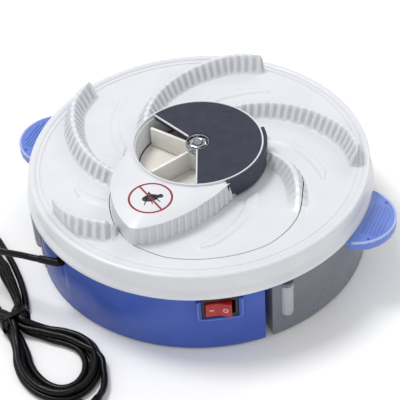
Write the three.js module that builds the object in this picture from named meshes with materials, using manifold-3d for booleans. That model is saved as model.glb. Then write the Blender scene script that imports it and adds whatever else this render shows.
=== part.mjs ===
// Turntable fly trap: a blue base with two carrying ears, a grey collecting tray that slides out
// of the back, a white lid with five spiral ridges, and a slow rotor under a dark hood.
// Millimetres, +Z up, origin at the middle of the underside; +Y is the way the tray slides out.
import * as THREE from 'three';
import { mergeVertices } from 'three/addons/utils/BufferGeometryUtils.js';
import Module from 'manifold-3d';

const wasm = await Module();
wasm.setup();

// ---- driving sizes ---------------------------------------------------------------------------
const gap = 0.3; // air left between two pieces that touch
const wall = 2.2; // ordinary moulded wall

const wallRadius = 105; // outside of base and tray
const footHeight = 1.5; // underside of the base above the table
const deckTop = 44;
const deckThickness = 2;
const deckUnder = deckTop - deckThickness;
const housingHalfAngle = 44.5; // degrees each side of -Y taken by the blue housing
const trayStartAngle = 47; // degrees from -Y where the tray begins
const columnRadius = 36; // round end of the housing, under the rotor

const earRadius = 25;
const earCentre = wallRadius - 3.5; // ear's round end, measured from the axis along X
const earThickness = 5.5;

const lidRadius = wallRadius + 2.5; // at the flared lower edge
const lipHeight = deckTop + 0.5; // lower edge of the lid
const rimHeight = deckTop + 15; // flat ring just inside the lid's bead
const drumRadius = 40.2; // outside of the ring round the rotor
const drumTop = deckTop + 27.9;
const armOuterRadius = wallRadius - 5;
const armTurn = 76.13; // degrees a ridge turns on its way in to the drum
const armSweep = armTurn / (armOuterRadius - drumRadius);
const ridgeHalfWidth = 7.5;
const ridgeFlat = 1.2; // half width of the ridge's top
const ridgeInnerTop = rimHeight + 5;
const ridgeOuterTop = rimHeight + 11.6;
const leafTop = drumTop - 1.5;

const motorRadius = 24.5;
const motorHeight = 20;
const shaftRadius = 3;
const vaneTop = drumTop - 4.3;
const hubTop = vaneTop - 1.2;
const vaneCount = 5;

const switchAngle = -60;
const glandAngle = -117.4;
const cordRadius = 2;

// ---- finishes --------------------------------------------------------------------------------
const finishes = {
  blue: [0x3f5cb4, 0.45, 0],
  white: [0xe6e8ec, 0.4, 0],
  cream: [0xdedbd2, 0.5, 0],
  navy: [0x23273a, 0.4, 0],
  grey: [0x6d7078, 0.35, 0],
  black: [0x101014, 0.5, 0],
  red: [0xc01a1a, 0.35, 0],
  rubber: [0x26262a, 0.85, 0],
  steel: [0xb8bcc2, 0.3, 1],
  brass: [0xc4a45a, 0.35, 1],
  redWire: [0xa82020, 0.6, 0],
};

const group = new THREE.Group();

function addPart(name, geometry, finish) {
  const [color, roughness, metalness] = finishes[finish];
  const mesh = new THREE.Mesh(geometry, new THREE.MeshStandardMaterial({ color, roughness, metalness }));
  mesh.name = name;
  group.add(mesh);
  return mesh;
}

// ---- shape tools -----------------------------------------------------------------------------
const radians = (degrees) => THREE.MathUtils.degToRad(degrees);

function polar(radius, degrees) {
  return new THREE.Vector2(radius * Math.cos(radians(degrees)), radius * Math.sin(radians(degrees)));
}

function plate(shape, bottom, top, curveSegments = 12) {
  const geometry = new THREE.ExtrudeGeometry(shape, { depth: top - bottom, bevelEnabled: false, curveSegments });
  return geometry.translate(0, 0, bottom);
}

function block(x0, x1, y0, y1, z0, z1) {
  const geometry = new THREE.BoxGeometry(x1 - x0, y1 - y0, z1 - z0);
  return geometry.translate((x0 + x1) / 2, (y0 + y1) / 2, (z0 + z1) / 2);
}

// Profile points are [radius, height], counter-clockwise seen with the axis on the left.
function turned(profile, segments = 24) {
  const points = profile.map(([radius, height]) => new THREE.Vector2(radius, height));
  return new THREE.LatheGeometry(points, segments).rotateX(Math.PI / 2);
}

function ring(inner, outer, bottom, top, segments = 24) {
  const profile = [[inner, bottom], [outer, bottom], [outer, top], [inner, top], [inner, bottom]];
  return turned(profile, segments);
}

function disc(radius, bottom, top, segments = 24) {
  return turned([[0, bottom], [radius, bottom], [radius, top], [0, top]], segments);
}

function tube(points, radius, sides, steps) {
  const circle = new THREE.Shape(
    Array.from({ length: sides }, (_, i) => polar(radius, (360 * i) / sides)),
  );
  const path = new THREE.CatmullRomCurve3(points.map((p) => new THREE.Vector3(...p)));
  return new THREE.ExtrudeGeometry(circle, { steps, extrudePath: path });
}

// Annular sector between two angles.
function sectorShape(inner, outer, from, to) {
  const shape = new THREE.Shape();
  shape.absarc(0, 0, outer, radians(from), radians(to), false);
  shape.absarc(0, 0, inner, radians(to), radians(from), true);
  shape.closePath();
  return shape;
}

function solidOf(geometry) {
  const bare = geometry.clone();
  bare.deleteAttribute('normal');
  bare.deleteAttribute('uv');
  const merged = mergeVertices(bare, 1e-4);
  const corners = [];
  for (let i = 0; i < merged.index.count; i += 3) {
    const [a, b, c] = [0, 1, 2].map((k) => merged.index.getX(i + k));
    if (a !== b && b !== c && c !== a) corners.push(a, b, c);
  }
  const vertProperties = new Float32Array(merged.attributes.position.array);
  return new wasm.Manifold(new wasm.Mesh({ numProp: 3, vertProperties, triVerts: new Uint32Array(corners) }));
}

function geometryOf(solid) {
  const mesh = solid.getMesh();
  const geometry = new THREE.BufferGeometry();
  geometry.setAttribute('position', new THREE.BufferAttribute(mesh.vertProperties, 3));
  geometry.setIndex(new THREE.BufferAttribute(mesh.triVerts, 1));
  geometry.computeVertexNormals();
  return geometry;
}

function joined(...geometries) {
  return geometries.map(solidOf).reduce((all, one) => all.add(one));
}

function drilled(solid, ...cutters) {
  return cutters.map(solidOf).reduce((rest, cutter) => rest.subtract(cutter), solid);
}

// Moves a geometry built with +X pointing out of the base wall to its place round the base.
function onWall(geometry, degrees, height) {
  return geometry.translate(wallRadius, 0, height).rotateZ(radians(degrees));
}

// ---- screws ----------------------------------------------------------------------------------
const screwRadius = 1.5;
const screwHole = screwRadius + gap;
const headRadius = 2.8;
const headHeight = 1.5;

// A pan-head screw; the head's underside sits at seat, and the shank runs the way of direction.
function screw(x, y, seat, length, direction) {
  const profile = [
    [0, -length], [screwRadius, -length], [screwRadius, 0],
    [headRadius, 0], [headRadius, headHeight * 0.6], [headRadius * 0.6, headHeight], [0, headHeight],
  ];
  const geometry = turned(profile, 12);
  if (direction > 0) geometry.rotateX(Math.PI);
  return geometry.translate(x, y, seat);
}

// ---- housing: keyhole-shaped blue tub, closed below by its cover ------------------------------
// Outline of the keyhole, drawn in by inset on every side.
function keyhole(inset) {
  const outer = wallRadius - inset;
  const half = columnRadius - inset;
  const edge = radians(housingHalfAngle);
  const swing = housingHalfAngle - THREE.MathUtils.radToDeg(Math.asin(inset / outer));
  const reach = (half + inset * Math.cos(edge)) / Math.sin(edge);
  const waist = -reach * Math.cos(edge) - inset * Math.sin(edge);
  const shape = new THREE.Shape();
  shape.absarc(0, 0, outer, radians(-90 - swing), radians(-90 + swing), false);
  shape.lineTo(half, waist);
  shape.absarc(0, 0, half, 0, Math.PI, false);
  shape.lineTo(-half, waist);
  shape.closePath();
  return shape;
}

const housingTop = deckUnder - gap;
const coverThickness = 2;
const coverUnder = footHeight + 0.5;
const coverTop = coverUnder + coverThickness;
const bossRadius = 4;
const bossBottom = coverTop + gap;

// Screw bosses stand where they can grow out of the walls.
const cornerBossRadius = wallRadius - wall - bossRadius + 0.7;
const cornerSwing = housingHalfAngle
  - THREE.MathUtils.radToDeg(Math.asin((wall + bossRadius - 0.5) / cornerBossRadius));
const columnBossRadius = columnRadius - wall - bossRadius + 0.8;
const bosses = [
  polar(cornerBossRadius, -90 - cornerSwing),
  polar(cornerBossRadius, -90 + cornerSwing),
  polar(columnBossRadius, 50),
  polar(columnBossRadius, 130),
];

// Positions along the wall's outward direction are measured from the round wall.
const switchHeight = deckTop - 8.8;
const switchWidth = 19;
const switchTall = 13;
const bezelWidth = 21;
const bezelTall = 15;
const bezelThickness = 1.6;
const bezelFace = 0.6;
const bezelBack = bezelFace - bezelThickness;
const padFace = 0.9; // flat pad round the switch, proud of the round wall
const glandHeight = deckTop - 5.5;
const glandSleeve = 2.6;

const clampedHeight = glandHeight - 4; // cord's middle where the clamp holds it
const clampBlock = { inner: -25, outer: -1, half: 8.5, bottom: 24, top: clampedHeight - cordRadius - gap };
const clampX = -18;
const clampScrews = [[clampX, -5.5], [clampX, 5.5]];

// Shallow seat for the bezel, a little larger than it; it also notches the deck's edge.
function bezelSeat() {
  const half = bezelWidth / 2 + gap;
  const tall = bezelTall / 2 + gap;
  return onWall(block(bezelBack - gap, bezelFace + 3, -half, half, -tall, tall), switchAngle, switchHeight);
}

function buildHousing() {
  const body = solidOf(plate(keyhole(0), footHeight, housingTop, 24))
    .subtract(solidOf(plate(keyhole(wall), footHeight - 1, housingTop + 1, 24)));
  const posts = bosses.map(({ x, y }) => disc(bossRadius, bossBottom, housingTop, 16).translate(x, y, 0));
  const pad = block(-3, padFace, -13.5, 13.5, -9.3, deckUnder - gap - switchHeight);
  const shelf = block(clampBlock.inner, clampBlock.outer, -clampBlock.half, clampBlock.half,
    clampBlock.bottom, clampBlock.top);
  const grown = [
    ...posts,
    onWall(pad, switchAngle, switchHeight),
    onWall(shelf, glandAngle, 0),
  ].map(solidOf).reduce((all, one) => all.add(one), body);
  const switchHole = block(-6, 4, -switchWidth / 2 - gap, switchWidth / 2 + gap,
    -switchTall / 2 - gap, switchTall / 2 + gap);
  const glandHole = disc(glandSleeve + gap, -6, 4, 16).rotateY(Math.PI / 2);
  const glandSlot = block(-6, 4, -glandSleeve - gap, glandSleeve + gap, 0, deckTop - glandHeight);
  const screwHoles = bosses.map(({ x, y }) => disc(screwHole, 0, deckTop, 12).translate(x, y, 0));
  const clampHoles = clampScrews.map(([x, y]) => onWall(
    disc(screwHole, clampBlock.bottom - 1, clampBlock.top + 1, 12).translate(x, y, 0), glandAngle, 0));
  return geometryOf(drilled(grown,
    onWall(switchHole, switchAngle, switchHeight),
    bezelSeat(),
    onWall(glandHole, glandAngle, glandHeight),
    onWall(glandSlot, glandAngle, glandHeight),
    ...screwHoles,
    ...clampHoles));
}

addPart('base_housing', buildHousing(), 'blue');

const coverShape = keyhole(wall + gap);
addPart('bottom_cover', geometryOf(drilled(
  solidOf(plate(coverShape, coverUnder, coverTop, 20)),
  ...bosses.map(({ x, y }) => disc(screwHole, 0, coverTop + 1, 12).translate(x, y, 0)),
)), 'blue');

bosses.forEach(({ x, y }, i) => {
  addPart(`cover_screw_${i + 1}`, screw(x, y, coverUnder - gap, 12, 1), 'steel');
});

const feet = [polar(84, -90 - 26), polar(84, -90 + 26), polar(22, 25), polar(22, 155)];
feet.forEach(({ x, y }, i) => {
  const profile = [[0, 0], [5.2, 0], [6, 0.6], [6, coverUnder - gap], [0, coverUnder - gap]];
  addPart(`rubber_foot_${i + 1}`, turned(profile, 16).translate(x, y, 0), 'rubber');
});

// ---- deck: round plate with two ears, a seat ring for the lid and the fly opening --------------
const seatInner = wallRadius - 11;
const seatOuter = seatInner + 1.6;
const deckRadius = wallRadius + 0.5;
const chute = { inner: 44, outer: seatInner - 2, from: 42, to: 138 };
const motorScrewX = 29;
const bushRadius = 6; // motor's front bush, through the deck

function buildDeck() {
  const sheet = disc(deckRadius, deckUnder, deckTop, 72);
  const seat = ring(seatInner, seatOuter, deckTop - 1, floorHeight(seatInner) - wall - gap, 72);
  const ears = [-1, 1].map((side) => disc(earRadius, deckTop - earThickness, deckTop, 28)
    .translate(side * earCentre, 0, 0));
  // Below the deck the ears keep clear of the tray, at rest and on its way out along +Y.
  const trayPath = block(-wallRadius - 1, wallRadius + 1, -wallRadius, wallRadius,
    deckTop - earThickness - 1, deckUnder);
  const earSolids = ears.map((ear) => solidOf(ear).subtract(solidOf(trayPath)));
  const whole = earSolids.reduce((all, ear) => all.add(ear), joined(sheet, seat));
  const opening = plate(sectorShape(chute.inner, chute.outer, chute.from, chute.to), deckUnder - 1, deckTop + 1, 10);
  const holes = [
    disc(bushRadius + gap, deckUnder - 1, deckTop + 1, 20),
    ...bosses.map(({ x, y }) => disc(screwHole, deckUnder - 1, deckTop + 1, 12).translate(x, y, 0)),
    ...[-1, 1].map((side) => disc(screwHole, deckUnder - 1, deckTop + 1, 12)
      .translate(side * motorScrewX, 0, 0)),
  ];
  return geometryOf(drilled(whole, opening, bezelSeat(), ...holes));
}

addPart('deck_with_handles', buildDeck(), 'blue');

bosses.forEach(({ x, y }, i) => {
  addPart(`deck_screw_${i + 1}`, screw(x, y, deckTop + gap, 10, -1), 'steel');
});

// ---- motor: flat gear motor hung under the deck by its two ears -------------------------------
const motorEarTop = deckUnder - gap;
const motorEarThickness = 1;
const motorTop = motorEarTop - 0.2;
const motorBottom = motorTop - motorHeight;
const shaftBottom = motorTop - 6;

function buildMotor() {
  const can = disc(motorRadius, motorBottom, motorTop, 32);
  const bar = block(-33, 33, -4, 4, motorEarTop - motorEarThickness, motorEarTop);
  const bush = disc(bushRadius, motorTop - 1, deckTop - 0.6, 20);
  const shaftHole = disc(shaftRadius + gap, shaftBottom - gap, deckTop + 1, 16);
  const earHoles = [-1, 1].map((side) => disc(screwHole, motorBottom, deckTop, 12)
    .translate(side * motorScrewX, 0, 0));
  return geometryOf(drilled(joined(can, bar, bush), shaftHole, ...earHoles));
}
addPart('gear_motor', buildMotor(), 'steel');

[-1, 1].forEach((side, i) => {
  const seat = motorEarTop - motorEarThickness - gap;
  addPart(`motor_screw_${i + 1}`, screw(side * motorScrewX, 0, seat, 4.5, 1), 'steel');
});

// ---- bait dish: fixed floor under the rotor, open towards the tray under the hood -------------
const dishRadius = 37.4;
const dishTop = rimHeight - 5.5;
const dropOpening = { inner: 12, outer: 33, from: 50, to: 130 };

function buildDish() {
  const floor = disc(dishRadius, dishTop - 2, dishTop, 40);
  const skirt = ring(dishRadius - 2, dishRadius, deckTop + gap, dishTop - 1, 40);
  const drop = plate(sectorShape(dropOpening.inner, dropOpening.outer, dropOpening.from, dropOpening.to),
    dishTop - 4, dishTop + 1, 8);
  const wayOut = plate(sectorShape(30, 42, 45, 135), deckTop - 1, dishTop - 2.5, 8);
  const shaftHole = disc(shaftRadius + 1.2, dishTop - 4, dishTop + 1, 16);
  return geometryOf(drilled(joined(floor, skirt), drop, wayOut, shaftHole));
}
addPart('bait_dish', buildDish(), 'cream');

// ---- rotor ------------------------------------------------------------------------------------
const hubRadius = 7;
const vaneBottom = dishTop + 0.6;
const vaneReach = drumRadius - 4.8;
const vaneThickness = 1.8;
const firstVane = 26;
const washerRadius = 7;
const washerBottom = hubTop + gap;
const washerTop = washerBottom + 1;
const nutBottom = washerTop + gap;
const nutTop = nutBottom + 3;

addPart('rotor_shaft', turned([
  [0, shaftBottom], [shaftRadius, shaftBottom], [shaftRadius, nutTop + 0.2], [shaftRadius - 0.8, nutTop + 1],
  [0, nutTop + 1],
], 16), 'steel');

function buildRotor() {
  const hub = disc(hubRadius, vaneBottom, hubTop, 20);
  const vanes = Array.from({ length: vaneCount }, (_, i) => block(
    hubRadius - 2, vaneReach, -vaneThickness / 2, vaneThickness / 2, vaneBottom, vaneTop,
  ).rotateZ(radians(firstVane + (360 * i) / vaneCount)));
  const washerSeat = disc(washerRadius + 1, hubTop, vaneTop + 1, 24);
  return geometryOf(drilled(joined(hub, ...vanes), washerSeat,
    disc(shaftRadius + gap, vaneBottom - 1, vaneTop + 1, 16)));
}
addPart('rotor_vanes', buildRotor(), 'cream');

addPart('rotor_washer', ring(shaftRadius + gap, washerRadius, washerBottom, washerTop, 20), 'steel');

const hexagon = new THREE.Shape(Array.from({ length: 6 }, (_, i) => polar(5.7, 60 * i)));
addPart('rotor_nut', geometryOf(drilled(
  solidOf(plate(hexagon, nutBottom, nutTop)),
  disc(shaftRadius + gap, nutBottom - 1, nutTop + 1, 16),
)), 'steel');

// ---- tray: grey C-shaped drawer that slides out along +Y --------------------------------------
const trayClearance = 1.2; // beside the round column
const trayTop = deckUnder - 0.6;
const trayFloor = footHeight + 2;
const trayWall = 2;
const gripAngle = 37.5; // degrees from the X axis, towards the housing

function trayOutline(inset) {
  const outer = wallRadius - inset;
  const inner = columnRadius + trayClearance + inset;
  const start = -90 + trayStartAngle;
  const edge = radians(housingHalfAngle);
  const corner = polar(wallRadius, start);
  // The slanting side runs beside the housing; slide along its normal by the inset.
  const origin = new THREE.Vector2(corner.x + inset * Math.cos(edge), corner.y + inset * Math.sin(edge));
  const swing = THREE.MathUtils.radToDeg(Math.asin(inset / outer));
  const waist = origin.y + ((origin.x - inner) / Math.sin(edge)) * Math.cos(edge);
  const shape = new THREE.Shape();
  shape.absarc(0, 0, outer, radians(start + swing), radians(180 - start - swing), false);
  shape.lineTo(-inner, waist);
  shape.absarc(0, 0, inner, Math.PI, 0, true);
  shape.lineTo(inner, waist);
  shape.closePath();
  return shape;
}

function gripRib(degrees) {
  const radius = 4;
  const low = 15;
  const profile = [[0, low - radius]];
  for (let i = 1; i <= 4; i += 1) {
    const turn = radians(22.5 * i);
    profile.push([radius * Math.sin(turn), low - radius * Math.cos(turn)]);
  }
  profile.push([radius, trayTop], [0, trayTop]);
  return turned(profile, 16).translate(wallRadius - 1.5, 0, 0).rotateZ(radians(degrees));
}

function buildTray() {
  const outside = joined(plate(trayOutline(0), footHeight, trayTop, 40),
    gripRib(-gripAngle), gripRib(180 + gripAngle));
  return geometryOf(outside.subtract(solidOf(plate(trayOutline(trayWall), trayFloor, trayTop + 1, 40))));
}
addPart('collecting_tray', buildTray(), 'grey');

// ---- switch -----------------------------------------------------------------------------------
// Built with +X out of the wall, then carried round to its place.
const pivotDepth = bezelFace - 4.5;
const switchBack = bezelFace - 15.3;
const bladeEnd = switchBack - 6.5;
const rockerTilt = 9; // degrees each way from level; at rest the off end is pressed

function buildSwitchBody() {
  const flange = block(bezelBack, bezelFace, -bezelWidth / 2, bezelWidth / 2, -bezelTall / 2, bezelTall / 2);
  const body = block(switchBack, bezelBack + 0.2, -switchWidth / 2, switchWidth / 2, -switchTall / 2, switchTall / 2);
  const well = block(switchBack + 3, bezelFace + 1, -8.7, 8.7, -5.4, 5.4);
  return geometryOf(drilled(joined(flange, body), well));
}
addPart('switch_body', onWall(buildSwitchBody(), switchAngle, switchHeight), 'black');

function buildRocker() {
  const outline = new THREE.Shape();
  outline.moveTo(2.0, 0);
  outline.lineTo(3.4, 7.5);
  outline.lineTo(-1.5, 7.5);
  outline.quadraticCurveTo(-7.5, 0, -1.5, -7.5);
  outline.lineTo(3.4, -7.5);
  outline.closePath();
  const geometry = plate(outline, -5, 5, 6);
  geometry.translate(-pivotDepth, 0, 0).rotateZ(radians(-rockerTilt)).translate(pivotDepth, 0, 0);
  return onWall(geometry, switchAngle, switchHeight);
}
addPart('switch_rocker', buildRocker(), 'red');

[-4.5, 4.5].forEach((y, i) => {
  const blade = block(bladeEnd, switchBack - gap, y - 0.4, y + 0.4, -2.4, 2.4);
  addPart(`switch_terminal_${i + 1}`, onWall(blade, switchAngle, switchHeight), 'brass');
});

// ---- cord entry and inside wiring ---------------------------------------------------------------
const glandInner = -5;
const collarRadius = 3.2;
const collarOuter = 2;
const bootTurn = -175; // way the boot leads the cord off, along the wall
const bootLength = 12;
const elbow = polar(wallRadius + collarOuter + 0.9, glandAngle);

// Point ahead of the elbow along the boot.
function bootPoint(distance) {
  const { x, y } = polar(distance, bootTurn).add(elbow);
  return [x, y, glandHeight];
}

// Moulded grommet: a sleeve and collar in the wall, then an elbow into a tapering boot.
function buildGland() {
  const sleeve = turned([
    [0, glandInner], [glandSleeve, glandInner], [glandSleeve, gap * 2], [collarRadius, gap * 2],
    [collarRadius, collarOuter], [0, collarOuter],
  ], 16).rotateY(Math.PI / 2);
  const knee = new THREE.SphereGeometry(glandSleeve, 16, 10).translate(elbow.x, elbow.y, glandHeight);
  const boot = turned([[0, 0], [glandSleeve, 0], [cordRadius + 0.35, bootLength], [0, bootLength]], 16)
    .rotateY(Math.PI / 2).rotateZ(radians(bootTurn)).translate(elbow.x, elbow.y, glandHeight);
  return geometryOf(joined(onWall(sleeve, glandAngle, glandHeight), knee, boot));
}
addPart('cord_gland', buildGland(), 'black');

function wallPoint(x, y, height, degrees) {
  const point = new THREE.Vector2(wallRadius + x, y).rotateAround(new THREE.Vector2(), radians(degrees));
  return [point.x, point.y, height];
}

const cordInnerEnd = -28;
addPart('cord_inner_end', tube([
  wallPoint(glandInner - gap, 0, glandHeight, glandAngle),
  wallPoint(glandInner - 1.5, 0, glandHeight, glandAngle),
  wallPoint(-10.5, 0, glandHeight - 2.2, glandAngle),
  wallPoint(-15, 0, clampedHeight, glandAngle),
  wallPoint(-21, 0, clampedHeight, glandAngle),
  wallPoint(cordInnerEnd, 0, clampedHeight, glandAngle),
], cordRadius, 8, 16), 'black');

const clampUnder = clampedHeight + cordRadius + gap;
const clampThickness = 1.6;
addPart('cord_clamp', onWall(geometryOf(drilled(
  solidOf(block(clampX - 3, clampX + 3, -clampBlock.half, clampBlock.half, clampUnder, clampUnder + clampThickness)),
  ...clampScrews.map(([x, y]) => disc(screwHole, 0, deckTop, 12).translate(x, y, 0)),
)), glandAngle, 0), 'black');

clampScrews.forEach(([x, y], i) => {
  const seat = clampUnder + clampThickness + gap;
  addPart(`clamp_screw_${i + 1}`, onWall(screw(x, y, seat, 10, -1), glandAngle, 0), 'steel');
});

const wireRadius = 0.8;
const motorTerminals = [-5, 5].map((x) => [x, -motorRadius - wireRadius - 1, 32]);

addPart('wire_cord_to_motor', tube([
  wallPoint(cordInnerEnd - gap, -0.9, clampedHeight, glandAngle),
  wallPoint(-35, -2, clampedHeight, glandAngle),
  [-24, -44, 31],
  [-8, -34, 31],
  motorTerminals[0],
], wireRadius, 6, 16), 'black');

addPart('wire_cord_to_switch', tube([
  wallPoint(cordInnerEnd - gap, 0.9, clampedHeight, glandAngle),
  wallPoint(-34, 4, clampedHeight - 2, glandAngle),
  [-14, -66, 28],
  [16, -70, 28],
  wallPoint(bladeEnd - 8, -6, switchHeight - 3, switchAngle),
  wallPoint(bladeEnd - gap, -4.5, switchHeight, switchAngle),
], wireRadius, 6, 22), 'redWire');

addPart('wire_switch_to_motor', tube([
  wallPoint(bladeEnd - gap, 4.5, switchHeight, switchAngle),
  wallPoint(bladeEnd - 8, 6, switchHeight - 2, switchAngle),
  [24, -50, 30],
  [9, -36, 31],
  motorTerminals[1],
], wireRadius, 6, 16), 'redWire');

// ---- lid surface: shared by the lid and the removable centre cover -------------------------------
const ridgeEnds = [-196.4, -124.4, -52.4, 19.6, 91.6]; // outer end of each ridge, degrees
const valleySteps = 7;

// The front ridge dies out inside the lid's seam and bulges a little; the others run to the rim,
// where they bend along it.
const shortRidge = ridgeEnds.indexOf(-52.4);

function crestAngle(end, radius) {
  const straight = end + (armOuterRadius - Math.min(radius, armOuterRadius)) * armSweep;
  const bend = 5 * THREE.MathUtils.smoothstep(radius, 92, 99);
  const bulge = 5 * THREE.MathUtils.smoothstep(radius, drumRadius, 62);
  return end === ridgeEnds[shortRidge] ? straight + bulge : straight - bend;
}

function floorHeight(radius) {
  return rimHeight - 2.4 * (1 - (radius - drumRadius) / (armOuterRadius - drumRadius));
}

function ridgeHeight(radius, isShort) {
  const along = (radius - drumRadius) / (armOuterRadius - drumRadius);
  const full = THREE.MathUtils.lerp(ridgeInnerTop, ridgeOuterTop, along);
  const fade = isShort ? THREE.MathUtils.smoothstep(radius, 76, 88) : 0;
  return THREE.MathUtils.lerp(full, floorHeight(radius), fade);
}

function nextCrest(i, radius) {
  const last = i + 1 === ridgeEnds.length;
  return last ? crestAngle(ridgeEnds[0], radius) + 360 : crestAngle(ridgeEnds[i + 1], radius);
}

// One ring of corners that follows the ridges: four on each ridge, the rest along the valley floor.
function spiralRing(radius, dropped, ridged) {
  const foot = ridgeHalfWidth * armSweep;
  const flat = ridgeFlat * armSweep;
  const corners = [];
  ridgeEnds.forEach((end, i) => {
    const crest = crestAngle(end, radius);
    const valley = nextCrest(i, radius) - foot - (crest + foot);
    const angles = [crest - foot, crest - flat, crest + flat, crest + foot];
    for (let k = 1; k < valleySteps; k += 1) angles.push(crest + foot + (valley * k) / valleySteps);
    angles.forEach((angle, k) => {
      const onCrest = ridged && (k === 1 || k === 2);
      const height = (onCrest ? ridgeHeight(radius, i === shortRidge) : floorHeight(radius)) - dropped;
      const { x, y } = polar(radius, angle);
      corners.push([x, y, height]);
    });
  });
  return corners;
}

function plainRing(radius, height) {
  return spiralRing(radius, 0, false).map(([x, y]) => {
    const scale = radius / Math.hypot(x, y);
    return [x * scale, y * scale, height];
  });
}

// Skin through a closed loop of rings.
function loopSolid(rings) {
  const count = rings[0].length;
  const positions = rings.flat(2);
  const corners = [];
  rings.forEach((_, i) => {
    const here = i * count;
    const next = ((i + 1) % rings.length) * count;
    for (let j = 0; j < count; j += 1) {
      const k = (j + 1) % count;
      corners.push(here + j, next + j, next + k, here + j, next + k, here + k);
    }
  });
  const vertProperties = new Float32Array(positions);
  return new wasm.Manifold(new wasm.Mesh({ numProp: 3, vertProperties, triVerts: new Uint32Array(corners) }));
}

const surfaceInner = drumRadius - 1;
const bandRadius = lidRadius - 2.3; // outside of the upright band above the flare
const surfaceRadii = [surfaceInner, 46, 54, 62, 70, 78, 86, 92, 96];
const undersideRadii = [94.5, 86, 78, 70, 62, 54, 46, surfaceInner];
const shell = loopSolid([
  ...surfaceRadii.map((radius) => spiralRing(radius, 0, true)),
  plainRing(97.8, rimHeight),
  plainRing(100.4, rimHeight),
  plainRing(101.3, rimHeight + 1),
  plainRing(bandRadius - 2.6, rimHeight + 1.5),
  plainRing(bandRadius - 1, rimHeight + 1.2),
  plainRing(bandRadius - 0.2, rimHeight + 0.2),
  plainRing(bandRadius, lipHeight + 6),
  plainRing(lidRadius, lipHeight + 1.6),
  plainRing(lidRadius, lipHeight),
  plainRing(lidRadius - 1.6, lipHeight),
  plainRing(bandRadius - wall + 0.2, lipHeight + 5),
  plainRing(bandRadius - wall - 0.2, rimHeight - wall),
  plainRing(96.2, rimHeight - wall),
  ...undersideRadii.map((radius) => spiralRing(radius, wall, true)),
]);

// ---- leaf and seam outlines ----------------------------------------------------------------------
// Each outline is a few points [radius, degrees] joined by smooth curves, closed along the drum.
function smoothThrough(points, steps) {
  return new THREE.SplineCurve(points.map(([radius, angle]) => polar(radius, angle))).getPoints(steps);
}

function drumArc(radius, from, to, steps) {
  return Array.from({ length: steps - 1 }, (_, i) => polar(radius, from + ((to - from) * (i + 1)) / steps));
}

const leafTip = [83.7, -93];
const leafFront = [leafTip, [76.3, -85], [66.2, -75], [54.3, -62], [46, -48], [drumRadius, -35]];
const leafBack = [[drumRadius, -160], [43.2, -146], [53.8, -133], [59.5, -126], [69.5, -112], [76.7, -103], leafTip];

function leafOutline(back, front, drumSide) {
  const alongDrum = drumArc(drumSide, front.at(-1)[1], back[0][1], 10);
  return [...smoothThrough(back, 12), ...smoothThrough(front, 12).slice(1), ...alongDrum];
}

// The leaf's walls, measured towards the drum.
function insideLeaf(points) {
  return points.map(([radius, angle]) => [radius - 2.4, angle]).filter(([radius]) => radius > drumRadius + 1.4);
}

// Same outline drawn in by a distance; corners run counter-clockwise.
function drawnIn(points, distance) {
  return points.map((point, i) => {
    const before = points[(i + points.length - 1) % points.length];
    const after = points[(i + 1) % points.length];
    const along = after.clone().sub(before).normalize();
    return new THREE.Vector2(point.x - along.y * distance, point.y + along.x * distance);
  });
}

const seamTip = [83.9, -93.2];
const seamFront = [
  [drumRadius, 33], [51.5, 20], [61, 10], [67.6, 2], [72.6, -8], [79.4, -18], [84.4, -28],
  [88.4, -39], [88.8, -50], [88.8, -65], [88.4, -78], [85.8, -86], seamTip,
];
const seamBack = [seamTip, [78, -103.4], [70.9, -112.8], [61, -127], [55.4, -134.2], [45, -147.5], [drumRadius, -160]];

// The seam is listed clockwise from above, so it is turned round for the shape.
function seamOutline(radius) {
  const front = smoothThrough(seamFront, 30);
  const back = smoothThrough(seamBack, 14).slice(1);
  const alongDrum = drumArc(radius, -160, -327, 26);
  return [...front, ...back, ...alongDrum].reverse();
}

const seamGap = 0.4;

// ---- lid -----------------------------------------------------------------------------------------
const seamCut = new THREE.Shape(seamOutline(drumRadius + 0.1));
const drumCut = disc(drumRadius + seamGap, deckTop, 2 * deckTop, 60);
addPart('lid', geometryOf(drilled(shell, plate(seamCut, deckTop, 2 * deckTop), drumCut)), 'white');

// ---- centre cover: drum ring, leaf panel and the piece of valley in front of the hood -------------
const drumInner = drumRadius - 2;
const drumBottom = dishTop + 1.7;

function buildCentreCover() {
  const piece = shell.intersect(solidOf(plate(new THREE.Shape(drawnIn(seamOutline(drumRadius), seamGap)), deckTop, 2 * deckTop)));
  const leaf = solidOf(plate(new THREE.Shape(leafOutline(leafBack, leafFront, drumRadius - 0.8)), rimHeight - 0.4, leafTop));
  const inside = leafOutline(insideLeaf(leafBack), insideLeaf(leafFront), drumRadius + 1);
  const hollow = plate(new THREE.Shape(inside), 40, leafTop - 2);
  const drum = solidOf(ring(drumInner, drumRadius, drumBottom, drumTop, 60));
  return geometryOf(piece.add(leaf).subtract(solidOf(hollow)).add(drum));
}
addPart('centre_cover', buildCentreCover(), 'white');

// ---- hood ------------------------------------------------------------------------------------------
const hoodFrom = -66.5;
const hoodTo = 158;
const hoodTop = drumTop - 0.3;
const hoodUnder = hoodTop - 1.6;
const hoodRadius = drumInner - gap;
const nutClearRadius = 7.8;

addPart('hood_top', plate(sectorShape(nutClearRadius, hoodRadius, hoodFrom, hoodTo), hoodUnder, hoodTop, 40), 'navy');

const skirtInner = drumRadius + gap;
const skirtOuter = skirtInner + 2;
addPart('hood_skirt', geometryOf(joined(
  plate(sectorShape(skirtInner, skirtOuter, -34, 11), rimHeight - 0.4, hoodTop, 16),
  plate(sectorShape(skirtInner, skirtOuter, 10, 40), rimHeight + 6, hoodTop, 8),
)), 'navy');

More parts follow.
